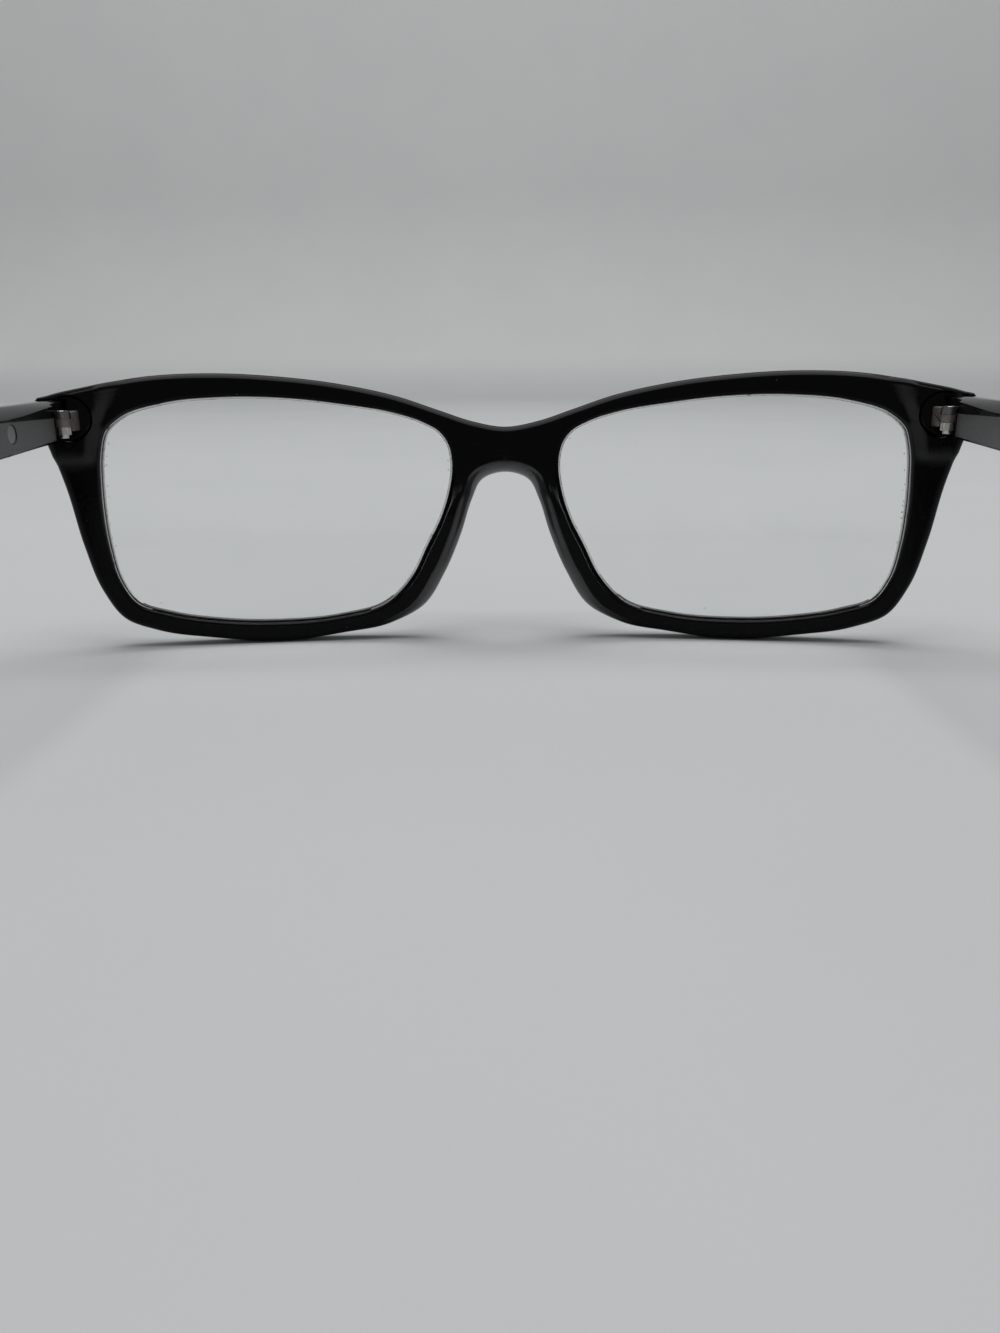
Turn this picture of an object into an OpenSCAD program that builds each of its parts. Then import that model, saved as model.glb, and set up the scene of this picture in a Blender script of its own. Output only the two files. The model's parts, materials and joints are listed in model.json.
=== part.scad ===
// Cat eye eyeglasses: a moulded front with its nose pads, two lenses in grooves and two temples
// that fold on three-knuckle hinges. The front stands on its rims, and the temples on their tips.
// +X is the wearer's left, the lenses look along -Y and the temples run back along +Y.
// Drawn for the wearer's left and mirrored. Millimetres.

/* [Lens openings] */
// Width of a lens opening
open_w = 51.2; // [46:0.1:56]
// Height of a lens opening
open_h = 33.85; // [30:0.05:38]
// Gap between the two openings
bridge_w = 16.1; // [13:0.1:20]
// Width of the rim under an opening
under_w = 2.95; // [2.2:0.05:4]
// Width of the rim over an opening
brow_w = 3.4; // [2.6:0.05:5]

/* [Front] */
// Thickness of the rims
rim_t = 3.8; // [3.4:0.1:4.6]
// Radius of the front's wrap round the face
wrap_r = 320; // [260:10:500]
// Lean of the front, its top away from the face
front_tilt = 2.5; // [0:0.5:6]
// Rounding of the outer edges
edge_round = 0.9; // [0.5:0.1:1.2]
// Rounding of the edges of the openings
open_round = 0.45; // [0.3:0.05:0.6]
// Rise of the nose pads behind the rims
pad_rise = 3; // [1.5:0.1:4]
// Width of the bevel under the bridge
bridge_bevel = 1.9; // [1:0.1:2.4]
// Rise of the hinge boss behind the rim
boss_rise = 1; // [0.6:0.1:1.4]

/* [Lenses] */
// Thickness of a lens
lens_t = 2; // [1.6:0.1:2.4]
// Radius of a lens's middle surface
lens_r = 130; // [100:5:200]
// Depth of the groove in the rim
groove_depth = 0.7; // [0.4:0.05:1]
// Width of the groove at its floor
groove_w = 1.2; // [1:0.05:1.4]
// Thickness of the tongue round the lens
tongue_t = 0.8; // [0.5:0.05:0.9]
// Gap between the lens's edge and the opening
lens_fit = 0.12; // [0.1:0.01:0.2]
// Gap between the tongue and the groove's floor
tongue_fit = 0.12; // [0.1:0.01:0.2]

/* [Hinges] */
// Distance of the hinge axis outside the opening
hinge_out = 2.5; // [1.5:0.05:3]
// Distance of the hinge's middle below the top of the opening
hinge_below = 3.15; // [2.5:0.05:4]
// Distance of the hinge axis behind the floor of its pocket
hinge_back = 3.9; // [3.4:0.1:4.6]
// Radius of the knuckles
knuckle_r = 1; // [0.9:0.05:1.2]
// Height of each of the three knuckles
knuckle_h = 1.05; // [0.8:0.05:1.3]
// Gap between one knuckle and the next
knuckle_gap = 0.05; // [0.03:0.01:0.1]
// Radius of the hinge screw's shank
screw_r = 0.6; // [0.5:0.05:0.65]
// Running clearance of the screw, on the radius
screw_fit = 0.05; // [0.02:0.01:0.08]
// Clearance of the screw in its threaded knuckle, on the radius
thread_fit = 0.02; // [0.01:0.01:0.04]
// Radius of the screw's head
screw_head_r = 0.8; // [0.7:0.05:0.85]
// Height of the screw's head
screw_head_h = 0.4; // [0.35:0.05:0.5]
// Thickness of the leaf in the front
front_leaf_t = 1.45; // [0.8:0.05:1.5]
// Depth of the front leaf's root under the pocket's floor
front_leaf_root = 2.2; // [1.5:0.1:2.5]
// Thickness of the leaf in the temple
temple_leaf_t = 0.9; // [0.6:0.05:1.1]
// Length of the leaf in the temple behind the axis
temple_leaf_l = 8; // [5:0.5:12]
// Gap round a leaf in its moulded slot
leaf_fit = 0.03; // [0.02:0.01:0.06]
// Gap between the front's leaf and the moving knuckles
leaf_gap = 0.1; // [0.05:0.05:0.2]
// Width of the arms from the outer knuckles to the temple's leaf
arm_w = 1.4; // [1.2:0.1:1.6]
// Length of the temple's leaf ahead of the axis
plate_front = 2.4; // [1.4:0.1:2.8]
// Radius of the round pocket that the hinge stands in
pocket_r = 3.15; // [2.8:0.05:3.3]
// Distance of the pocket's middle outside the hinge axis
pocket_out = 0.45; // [0:0.05:1]
// Distance of the pocket's middle above the hinge axis
pocket_up = 0.5; // [0:0.05:0.8]

/* [Temples] */
// Length of a temple from the hinge axis to its tip
temple_l = 140; // [130:1:150]
// Length from the hinge axis to the start of the ear bend
bend_l = 89; // [80:1:98]
// Angle of the ear bend
bend_a = 45; // [38:1:50]
// Radius of the ear bend
bend_r = 30; // [20:1:40]
// Height of a temple at the hinge
temple_h = 5.5; // [5:0.1:5.8]
// Height of a temple before the ear bend
temple_mid_h = 6.4; // [5.6:0.1:7]
// Length behind its front end over which a temple grows to that height
swell_l = 36; // [24:1:50]
// Height of a temple's tip
tip_h = 7; // [6:0.1:9]
// Thickness of a temple at the hinge
temple_t = 4; // [3.6:0.1:4.6]
// Thickness of a temple before the ear bend
temple_mid_t = 3.1; // [2.6:0.1:3.8]
// Thickness of a temple's tip
tip_t = 2.8; // [2.4:0.1:3.4]
// Distance of the temple's inner face outside the hinge axis
inner_out = 0.75; // [0.75:0.05:1.4]
// Width of the bevel along the temple's upper inner edge
top_bevel_w = 1.7; // [1:0.1:1.8]
// Height of that bevel
top_bevel_h = 1.5; // [1:0.1:2]
// Height of that bevel at the temple's front end
bevel_end_h = 0.4; // [0.3:0.1:1]
// Length over which that bevel grows to its full height
bevel_l = 20; // [10:1:30]
// Rounding of the temple's other edges
temple_round = 0.6; // [0.4:0.1:1]
// Gap between the temple's end and the front when open
butt_gap = 0.05; // [0.03:0.01:0.1]
// Gap between the temple and the sides of its slot in the front
slot_gap = 0.2; // [0.15:0.05:0.3]
// Gap between the moving knuckles and the plastic round them
sweep_gap = 0.3; // [0.2:0.05:0.4]
// Radius of the shallow dished mark on the left temple's inner face
mark_r = 1.25; // [1:0.05:1.5]
// Distance of that mark behind the hinge axis
mark_back = 13.8; // [12:0.1:20]
// Distance of that mark below the hinge's middle
mark_drop = 0.7; // [0:0.1:1]
// Depth of that mark
mark_depth = 0.15; // [0.1:0.05:0.3]

/* [Hidden] */

gloss_black = [0.06, 0.06, 0.065];
clear_lens = [0.82, 0.88, 0.9, 0.45];
nickel = [0.7, 0.68, 0.64];

// Rows round the rim from the bridge's top, over the brow, down the side and back under the
// lens to the bridge: outer edge x and z, then the edge of the opening x and z
rows = [
    [0, 32.25, 8.6, 29.8], [5, 33.1, 9.9, 31.6], [10, 34.75, 12.2, 32.9], [16, 36.75, 16.8, 34.4],
    [24, 38.5, 24, 35.65], [34, 39.75, 33, 36.65], [43, 40.2, 42, 36.8], [52, 39.8, 50, 36],
    [60, 38.4, 55.9, 34], [65, 37.25, 58, 32], [66.9, 36.55, 58.6, 30.2], [67, 35.5, 58.95, 28.4],
    [65.4, 29.4, 59.2, 25], [64, 24, 59.25, 20], [62.4, 15.5, 58.85, 15], [60.45, 8.8, 57.75, 10],
    [57.75, 4.5, 55.8, 6.8], [53.1, 2.4, 51.3, 4.95], [45, 0.9, 44, 3.5], [35, 0, 35, 2.95],
    [25, 1.1, 25.5, 3.65], [18, 2.4, 18.6, 5.6], [12.85, 5.1, 14.6, 9.6], [9.4, 10.5, 12, 14.6],
    [6.75, 16.6, 9.9, 18.7], [5.05, 21.7, 8.5, 23], [3.75, 24.2, 8.05, 26], [0, 25.5, 8.1, 27.8],
];
last_row = len(rows) - 1;
// Sizes as drawn in the rows, which are stretched to the real ones
drawn_nasal = min([for (r = rows) r[2]]);
drawn_w = max([for (r = rows) r[2]]) - drawn_nasal;
drawn_under = min([for (r = rows) r[3]]);
drawn_h = max([for (r = rows) r[3]]) - drawn_under;
drawn_brow = max([for (r = rows) r[1]]) - drawn_h - drawn_under;
// Steps between one row and the next, and places on the centre line that close the ring
steps = 4;
closing = [0.4, 0.6, 0.8];

// Rows between which the boss, the nose pad and the nose's bevel rise and fall
boss_rows = [7.5, 7.9, 12.1, 12.6];
pad_rows = [21, 23.4, 24.4, 26.4];
bevel_rows = [20.5, 22.5];

// How far a rounded corner's middle point stays inside its two edges, as a share of its radius
soft = 0.29;
// Flare of the groove's mouth, width of the bevel beside the pads and flat left in front of it
groove_flare = 0.15;
pad_bevel = 1.2;
nose_flat = 0.3;
// Where the ridge stands between the outer edge and the opening: rim, boss and nose pad
ridge_at = [0.6, 0.8, 0.72];
// Step from the rim's back to the pocket's floor, and rise of the temple's middle above the hinge's
floor_step = 0.15;
temple_rise = 0.25;
// Crown of the temple's outer face
temple_crown = 0.12;
// How far the front's leaf stays inside the barrel at each end and at its side
leaf_inset = 0.2;
leaf_side = 0.05;
// Length of the screw below the barrel, depth of its head in the top knuckle, and its slot
screw_end = 0.5;
screw_sink = 0.35;
screw_slot_w = 0.3;
screw_slot_h = 0.25;
// Length behind the axis that is open for the knuckles in the temple's end
room_back = 1.1;

nasal_x = bridge_w / 2;
temporal_x = nasal_x + open_w;
open_top = under_w + open_h;
hinge_x = temporal_x + hinge_out;
hinge_z = open_top - hinge_below;

function mix(a, b, t) = a + (b - a) * t;
function ramp(a, b, t) = let (s = min(1, max(0, (t - a) / (b - a)))) s * s * (3 - 2 * s);
function hump(r, t) = ramp(r[0], r[1], t) * (1 - ramp(r[2], r[3], t));
function flip(p) = [-p[0], p[1]];

// Drawn outline to the real one: the bridge, the opening and the rims stretch apart
function fit_x(x) = x < drawn_nasal ? x * nasal_x / drawn_nasal
    : nasal_x + (x - drawn_nasal < drawn_w ? (x - drawn_nasal) * open_w / drawn_w
    : open_w + x - drawn_nasal - drawn_w);
function fit_z(z) = z < drawn_under ? z * under_w / drawn_under
    : under_w + (z - drawn_under < drawn_h ? (z - drawn_under) * open_h / drawn_h
    : open_h + (z - drawn_under - drawn_h) * brow_w / drawn_brow);

// Smooth curve through points that may lie unevenly
function slope(p, q, r) = let (a = norm(q - p), b = norm(r - q))
    ((q - p) / a * b + (r - q) / b * a) / (a + b);
function between(o, p, q, r, t) = let (h = norm(q - p))
    p * (2 * t * t * t - 3 * t * t + 1) + slope(o, p, q) * h * (t * t * t - 2 * t * t + t)
    + q * (3 * t * t - 2 * t * t * t) + slope(p, q, r) * h * (t * t * t - t * t);

outer_rows = [for (r = rows) [fit_x(r[0]), fit_z(r[1])]];
inner_rows = [for (r = rows) [fit_x(r[2]), fit_z(r[3])]];
function outer_row(i) = i < 0 ? flip(outer_rows[-i])
    : i > last_row ? flip(outer_rows[2 * last_row - i]) : outer_rows[i];
function inner_row(i) = inner_rows[(i + last_row + 1) % (last_row + 1)];

places = concat([for (i = [0:last_row - 1]) for (j = [0:steps - 1]) i + j / steps], [last_row],
                [for (f = closing) last_row + f]);
count = len(places);
edge_count = last_row * steps + 1;
function outer_at(t) = let (i = floor(t), f = t - i)
    t > last_row ? mix(outer_rows[last_row], outer_rows[0], f)
    : between(outer_row(i - 1), outer_row(i), outer_row(i + 1), outer_row(i + 2), f);
function inner_at(t) = let (i = floor(t), f = t - i)
    between(inner_row(i - 1), inner_row(i), inner_row(i + 1), inner_row(i + 2), f);
outer = [for (t = places) outer_at(t)];
inner = [for (t = places) inner_at(t)];

// Unit vectors in the front's plane that point from the opening to the rim and on outwards
function square_to(p, q) = let (d = (q - p) / norm(q - p)) [-d[1], d[0]];
outer_dir = [for (k = [0:count - 1]) k >= edge_count ? [0, 0]
    : square_to(k == 0 ? flip(outer[1]) : outer[k - 1],
                k == edge_count - 1 ? flip(outer[k - 1]) : outer[k + 1])];
inner_dir = [for (k = [0:count - 1])
    square_to(inner[(k + count - 1) % count], inner[(k + 1) % count])];

// The front's back surface, wrapped and leaning, and a point at a depth in front of it
lift = (rim_t - edge_round) * sin(front_tilt);
function back_y(x, z) = x * x / (2 * wrap_r) - z * tan(front_tilt);
function place(p, depth) = let (n = [p[0] / wrap_r, -1, -tan(front_tilt)])
    [p[0], back_y(p[0], p[1]), p[1] + lift] + n / norm(n) * depth;

// Lens frame: its middle lies behind the opening's centre, square to the front there
lens_mid = [nasal_x + open_w / 2, under_w + open_h / 2];
lens_turn = atan(lens_mid[0] / wrap_r);
lens_seat = place(lens_mid, rim_t / 2);
// Mean distance that the lens surface stands forward of the rim's middle at its centre
lens_bow = open_w * open_w / (8 * lens_r) * 0.6;
function to_lens(p) = let (q = p - lens_seat, x = q[0] * cos(lens_turn) + q[1] * sin(lens_turn),
    y = q[1] * cos(lens_turn) - q[0] * sin(lens_turn))
    [x, q[2] * cos(front_tilt) - y * sin(front_tilt), -y * cos(front_tilt) - q[2] * sin(front_tilt)];
function lens_z(p) = lens_bow - lens_r + sqrt(lens_r * lens_r - p[0] * p[0] - p[1] * p[1]);
groove_at = [for (p = inner) let (q = to_lens(place(p, rim_t / 2))) rim_t / 2 + lens_z(q) - q[2]];

// One section of the rim at place k, from the front's outer edge round the back to the opening
function out_pt(k, inset, depth) = place(outer[k] - outer_dir[k] * inset, depth);
function in_pt(k, inset, depth) = place(inner[k] + inner_dir[k] * inset, depth);
function section(k) = let (
    t = places[k],
    boss = boss_rise * hump(boss_rows, t),
    pad = pad_rise * hump(pad_rows, t),
    nose = ramp(bevel_rows[0], bevel_rows[1], t) * (t > last_row ? 0 : 1),
    bevel_w = mix(edge_round, mix(bridge_bevel, pad_bevel, hump(pad_rows, t)), nose),
    bevel_d = mix(edge_round, rim_t - edge_round - nose_flat, nose),
    bulge = mix(soft, 0.5, nose),
    ridge = mix(mix(ridge_at[0], ridge_at[1], hump(boss_rows, t)), ridge_at[2], hump(pad_rows, t)),
    a = outer[k] - outer_dir[k] * bevel_w,
    b = inner[k] + inner_dir[k] * open_round,
    g = groove_at[k]
) [
    out_pt(k, edge_round, rim_t),
    out_pt(k, edge_round * soft, rim_t - edge_round * soft),
    out_pt(k, 0, rim_t - edge_round),
    out_pt(k, 0, bevel_d - boss),
    out_pt(k, bevel_w * bulge, bevel_d * bulge - boss),
    place(a, -boss),
    place(mix(a, b, ridge * 0.55), -boss - pad * 0.6),
    place(mix(a, b, ridge), -boss - pad),
    place(mix(a, b, mix(ridge, 1, 0.35)), -boss * 0.8 - pad * 0.7),
    place(mix(a, b, 0.94), 0),
    place(b, 0),
    in_pt(k, open_round * soft, open_round * soft),
    in_pt(k, 0, open_round),
    in_pt(k, 0, g - groove_w / 2 - groove_flare),
    in_pt(k, groove_depth, g - groove_w / 2),
    in_pt(k, groove_depth, g + groove_w / 2),
    in_pt(k, 0, g + groove_w / 2 + groove_flare),
    in_pt(k, 0, rim_t - open_round),
    in_pt(k, open_round * soft, rim_t - open_round * soft),
    in_pt(k, open_round, rim_t),
];
sections = [for (k = [0:count - 1]) section(k)];

// Temple: its slope lets the tip just touch the table
pocket_y = back_y(hinge_x, hinge_z) + floor_step;
axis_y = pocket_y + hinge_back;
butt_y = pocket_y + butt_gap;
temple_z = hinge_z + lift + temple_rise;
inner_x = hinge_x + inner_out;
path_l = temple_l + axis_y - butt_y;
straight_l = bend_l + axis_y - butt_y;
arc_l = bend_r * bend_a * PI / 180;
tip_r = tip_h / 2;
function path_a(s) = min(bend_a, max(0, (s - straight_l) / arc_l * bend_a));
function path_pt(s) = let (a = path_a(s), rest = max(0, s - straight_l - arc_l))
    [min(s, straight_l) + bend_r * sin(a) + rest * cos(bend_a),
     bend_r * (1 - cos(a)) + rest * sin(bend_a)];
tip_mid = path_pt(path_l - tip_r);
slope_a = asin((temple_z - tip_r) / norm(tip_mid)) - atan2(tip_mid[1], tip_mid[0]);
function on_path(s) = let (p = path_pt(s))
    [butt_y + p[0] * cos(slope_a) - p[1] * sin(slope_a),
     temple_z - p[0] * sin(slope_a) - p[1] * cos(slope_a)];

// Sections of the temple: closer together at the ends and round the bend
temple_s = concat([0, 1.5, 5], [for (s = [12:12:straight_l - 6]) s],
    [for (f = [0:0.125:1]) straight_l + f * arc_l],
    [for (f = [0.3, 0.6, 0.85]) mix(straight_l + arc_l, path_l - tip_r, f)],
    [for (a = [0:15:75]) path_l - tip_r + tip_r * sin(a)], [path_l - 0.02]);
function temple_section(s) = let (
    body = ramp(0, swell_l, s),
    tail = ramp(straight_l, path_l - 2 * tip_r, s),
    end = max(0, s - path_l + tip_r) / tip_r,
    taper = sqrt(1 - end * end),
    h = mix(mix(temple_h, temple_mid_h, body), tip_h, tail) * taper,
    t = mix(mix(temple_t, temple_mid_t, body), tip_t, tail) * mix(1, taper, 0.5),
    skew = (1 - taper) * tip_t / 4,
    r = min(temple_round, h / 3, t / 3),
    bw = mix(top_bevel_w, r, tail) * min(1, taper + 0.1),
    bh = mix(mix(bevel_end_h, top_bevel_h, ramp(0, bevel_l, s)), r, tail) * taper,
    c = on_path(s),
    lean = slope_a * ramp(0, 5, s) + path_a(s),
    flat = [[r, -h / 2], [r * soft, r * soft - h / 2], [0, r - h / 2], [0, h / 2 - bh],
        [bw * 0.4, h / 2 - bh * 0.45], [bw, h / 2 - bh * 0.08], [t - r, h / 2],
        [t - r * soft, h / 2 - r * soft], [t, h / 2 - r], [t + temple_crown, 0],
        [t, r - h / 2], [t - r * soft, r * soft - h / 2], [t - r, -h / 2]]
) [for (p = flat) [inner_x + skew + p[0], c[0] + p[1] * sin(lean), c[1] + p[1] * cos(lean)]];

// The whole part stands with its origin under the middle of its bounding box
front_y = min([for (s = sections) for (p = s) p[1]]);
back_end = max([for (s = temple_s) for (p = temple_section(s)) p[1]]);
mid_y = (front_y + back_end) / 2;

knuckle_pitch = knuckle_h + knuckle_gap;
barrel_h = 3 * knuckle_h + 2 * knuckle_gap;
axis_z = hinge_z + lift;
leaf_x = hinge_x - knuckle_r + leaf_side;
plate_x = hinge_x + knuckle_r + sweep_gap;
dish_r = (mark_r * mark_r + mark_depth * mark_depth) / (2 * mark_depth);
big = 20;

module mirror_if(right) { mirror([right ? 1 : 0, 0, 0]) children(); }
module centred() { translate([0, -mid_y, 0]) children(); }

// A skin over rings of points, closed round or capped at its two ends
module skin(rings, closed) {
    n = len(rings[0]);
    m = len(rings);
    sides = [for (k = [0:m - (closed ? 1 : 2)]) for (i = [0:n - 1])
        let (a = k * n + i, b = k * n + (i + 1) % n, c = ((k + 1) % m) * n)
        each [[a, b, c + (i + 1) % n], [a, c + (i + 1) % n, c + i]]];
    caps = closed ? [] : [[for (i = [n - 1:-1:0]) i], [for (i = [0:n - 1]) (m - 1) * n + i]];
    polyhedron([for (r = rings) each r], concat(sides, caps));
}

// Leaf of the front: a block that runs from its root in the moulding to the hinge axis
module front_leaf(grow) {
    root_y = pocket_y - front_leaf_root;
    leaf_h = barrel_h - 2 * leaf_inset;
    translate([leaf_x - grow, root_y - grow, axis_z - leaf_h / 2 - grow])
        cube([front_leaf_t + 2 * grow, axis_y - root_y + grow, leaf_h + 2 * grow]);
}

// Plate of the temple's leaf
module temple_plate(grow) {
    translate([plate_x - grow, axis_y - plate_front - grow, axis_z - barrel_h / 2 - grow])
        cube([temple_leaf_t + 2 * grow, plate_front + temple_leaf_l + 2 * grow, barrel_h + 2 * grow]);
}

module hinge_pocket() {
    slot_h = temple_h + 2 * slot_gap;
    translate([hinge_x + pocket_out, pocket_y, 0]) {
        translate([0, 0, axis_z + pocket_up]) rotate([-90, 0, 0]) cylinder(h = big, r = pocket_r);
        translate([0, 0, temple_z - slot_h / 2]) cube([big, big, slot_h]);
    }
    front_leaf(leaf_fit);
}

module front_frame() {
    color(gloss_black) centred() difference() {
        union() {
            skin(sections, true);
            mirror([1, 0, 0]) skin(sections, true);
        }
        for (right = [false, true]) mirror_if(right) hinge_pocket();
    }
}

module lens_outline(grow) {
    polygon([for (k = [0:count - 1])
        let (q = to_lens(place(inner[k] + inner_dir[k] * grow, groove_at[k]))) [q[0], q[1]]]);
}

// A slice of a lens: the outline cut from a round shell of the given thickness
module lens_slice(grow, thick) {
    intersection() {
        translate([0, 0, -big / 2]) linear_extrude(big) lens_outline(grow);
        translate([0, 0, lens_bow - lens_r]) difference() {
            sphere(lens_r + thick / 2, $fn = 200);
            sphere(lens_r - thick / 2, $fn = 200);
        }
    }
}

module lens() {
    color(clear_lens) centred() translate(lens_seat) rotate([90 + front_tilt, 0, lens_turn]) {
        lens_slice(-lens_fit, lens_t);
        lens_slice(groove_depth - tongue_fit, tongue_t);
    }
}
module left_lens() { lens(); }
module right_lens() { mirror([1, 0, 0]) lens(); }

// A knuckle round the screw, joined to what is given and bored through with it
module knuckle(level, bore_r) {
    level_z = axis_z + level * knuckle_pitch - knuckle_h / 2;
    difference() {
        union() {
            translate([hinge_x, axis_y, level_z]) cylinder(h = knuckle_h, r = knuckle_r, $fn = 48);
            children();
        }
        translate([hinge_x, axis_y, level_z - 1]) cylinder(h = knuckle_h + 2, r = bore_r, $fn = 48);
    }
}

// The front's leaf makes room for the moving knuckles above and below its own
module front_hinge() {
    color(nickel) centred() knuckle(0, screw_r + screw_fit) difference() {
        front_leaf(0);
        for (under = [0, 1])
            translate([hinge_x, axis_y, axis_z]) mirror([0, 0, under]) translate([0, 0, knuckle_h / 2])
                cylinder(h = big, r = knuckle_r + leaf_gap, $fn = 48);
    }
}
module left_front_hinge() { front_hinge(); }
module right_front_hinge() { mirror([1, 0, 0]) front_hinge(); }

module hinge_arm(level) {
    translate([hinge_x, axis_y - arm_w / 2, axis_z + level * knuckle_pitch - knuckle_h / 2])
        cube([plate_x + temple_leaf_t / 2 - hinge_x, arm_w, knuckle_h]);
}

module temple_hinge() {
    color(nickel) centred() {
        temple_plate(0);
        knuckle(-1, screw_r + thread_fit) hinge_arm(-1);
        // The top knuckle is countersunk for the screw's head
        difference() {
            knuckle(1, screw_r + screw_fit) hinge_arm(1);
            translate([hinge_x, axis_y, axis_z + barrel_h / 2 - screw_sink])
                cylinder(h = big, r = screw_head_r + screw_fit, $fn = 48);
        }
    }
}
module left_temple_hinge() { temple_hinge(); }
module right_temple_hinge() { mirror([1, 0, 0]) temple_hinge(); }

module hinge_screw() {
    color(nickel) centred() translate([hinge_x, axis_y, axis_z - barrel_h / 2]) difference() {
        union() {
            translate([0, 0, -screw_end]) cylinder(h = barrel_h + screw_end, r = screw_r, $fn = 48);
            translate([0, 0, barrel_h - screw_sink])
                cylinder(h = screw_head_h, r = screw_head_r, $fn = 48);
        }
        translate([-big / 2, -screw_slot_w / 2, barrel_h - screw_sink + screw_head_h - screw_slot_h])
            cube([big, screw_slot_w, big]);
    }
}
module left_hinge_screw() { hinge_screw(); }
module right_hinge_screw() { mirror([1, 0, 0]) hinge_screw(); }

module temple(marked) {
    color(gloss_black) centred() difference() {
        skin([for (k = [len(temple_s) - 1:-1:0]) temple_section(temple_s[k])], false);
        // Room for the knuckles and the front end of the metal leaf
        translate([inner_x - 1, butt_y - 1, 0])
            cube([plate_x - inner_x + 1, axis_y + room_back - butt_y + 1, 2 * axis_z]);
        temple_plate(leaf_fit);
        if (marked)
            translate([inner_x + mark_depth - dish_r, axis_y + mark_back, axis_z - mark_drop])
                sphere(dish_r, $fn = 96);
    }
}
module left_temple() { temple(true); }
module right_temple() { mirror([1, 0, 0]) temple(false); }

front_frame();
left_lens();
right_lens();
left_front_hinge();
right_front_hinge();
left_temple();
right_temple();
left_temple_hinge();
right_temple_hinge();
left_hinge_screw();
right_hinge_screw();
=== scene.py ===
import json
from math import asin, atan, atan2, cos, degrees, hypot, pi, radians, sin, sqrt, tan

import bpy
from mathutils import Matrix, Vector


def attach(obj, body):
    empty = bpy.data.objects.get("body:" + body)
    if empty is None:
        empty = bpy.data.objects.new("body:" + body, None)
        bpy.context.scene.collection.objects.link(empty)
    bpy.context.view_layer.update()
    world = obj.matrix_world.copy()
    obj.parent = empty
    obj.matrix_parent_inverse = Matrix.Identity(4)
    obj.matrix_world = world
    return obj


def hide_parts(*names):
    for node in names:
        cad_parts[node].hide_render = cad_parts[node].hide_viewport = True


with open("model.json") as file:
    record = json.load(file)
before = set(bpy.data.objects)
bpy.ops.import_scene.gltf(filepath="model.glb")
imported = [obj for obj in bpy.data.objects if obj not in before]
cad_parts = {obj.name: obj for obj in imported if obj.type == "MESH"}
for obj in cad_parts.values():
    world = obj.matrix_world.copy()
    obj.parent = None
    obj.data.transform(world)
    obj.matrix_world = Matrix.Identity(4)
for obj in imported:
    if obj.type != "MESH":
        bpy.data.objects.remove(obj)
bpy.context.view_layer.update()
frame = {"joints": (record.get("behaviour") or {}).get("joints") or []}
mm = 0.001
weld = 2e-6  # points of a mesh that are nearer than this, in metres, are one
past = 3  # how far a cutter reaches past what it cuts, in mm
hinge = next(Vector(j["pos_m"]) for j in frame["joints"] if j["name"] == "left_temple_fold") / mm
print("frame loaded, left hinge at", tuple(round(c, 2) for c in hinge), "mm")


# small helpers

def clearSelection():
    if bpy.context.object and bpy.context.object.mode != "OBJECT":
        bpy.ops.object.mode_set(mode="OBJECT")
    bpy.ops.object.select_all(action="DESELECT")


def pick(*objects):  # the last one is active
    clearSelection()
    for obj in objects:
        obj.select_set(True)
    bpy.context.view_layer.objects.active = objects[-1]


def applyModifier(obj, kind, **settings):
    pick(obj)
    modifier = obj.modifiers.new(kind.title(), kind)
    for name, value in settings.items():
        setattr(modifier, name, value)
    bpy.ops.object.modifier_apply(modifier=modifier.name)


def carve(obj, cutter, operation="DIFFERENCE"):
    applyModifier(obj, "BOOLEAN", object=cutter, operation=operation, solver="EXACT")
    bpy.data.objects.remove(cutter, do_unlink=True)


def place(obj):  # puts an object's place, turn and scale into its mesh
    pick(obj)
    bpy.ops.object.transform_apply(location=True, rotation=True, scale=True)


def editAll(obj):
    pick(obj)
    bpy.ops.object.mode_set(mode="EDIT")
    bpy.ops.mesh.select_all(action="SELECT")


def turnOut(obj, merge=0):  # turns the faces outwards, after doubles are merged
    editAll(obj)
    if merge:
        bpy.ops.mesh.remove_doubles(threshold=merge)
    bpy.ops.mesh.normals_make_consistent(inside=False)
    bpy.ops.object.mode_set(mode="OBJECT")


def flip(obj):  # to the wearer's right
    obj.scale.x = -1
    place(obj)
    turnOut(obj)


def smooth(obj, angle=32):
    pick(obj)
    bpy.ops.object.shade_smooth_by_angle(angle=radians(angle))


def selectEdges(obj, wanted):  # leaves edit mode open with only the wanted edges selected
    pick(obj)
    bpy.ops.object.mode_set(mode="EDIT")
    bpy.ops.mesh.select_mode(type="EDGE")
    bpy.ops.mesh.select_all(action="DESELECT")
    bpy.ops.object.mode_set(mode="OBJECT")
    mesh = obj.data
    normals = {}
    for face in mesh.polygons:
        for key in face.edge_keys:
            normals.setdefault(key, []).append(face.normal)
    count = 0
    for edge in mesh.edges:
        a, b = (mesh.vertices[i].co / mm for i in edge.vertices)
        sides = normals.get(tuple(sorted(edge.vertices)), [])
        turn = degrees(sides[0].angle(sides[1], 0)) if len(sides) == 2 else 180
        edge.select = bool(wanted(a, b, turn))
        count += edge.select
    bpy.ops.object.mode_set(mode="EDIT")
    return count


def bevelEdges(obj, width, segments, wanted):
    if selectEdges(obj, wanted):
        bpy.ops.mesh.bevel(offset=width * mm, segments=segments, affect="EDGES", clamp_overlap=True)
    bpy.ops.object.mode_set(mode="OBJECT")


def block(name, low, high):  # a box between two corners, in mm
    clearSelection()
    middle, size = (Vector(low) + Vector(high)) / 2, Vector(high) - Vector(low)
    bpy.ops.mesh.primitive_cube_add(size=1, location=middle * mm)
    obj = bpy.context.object
    obj.name = name
    obj.scale = size * mm
    place(obj)
    return obj


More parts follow.
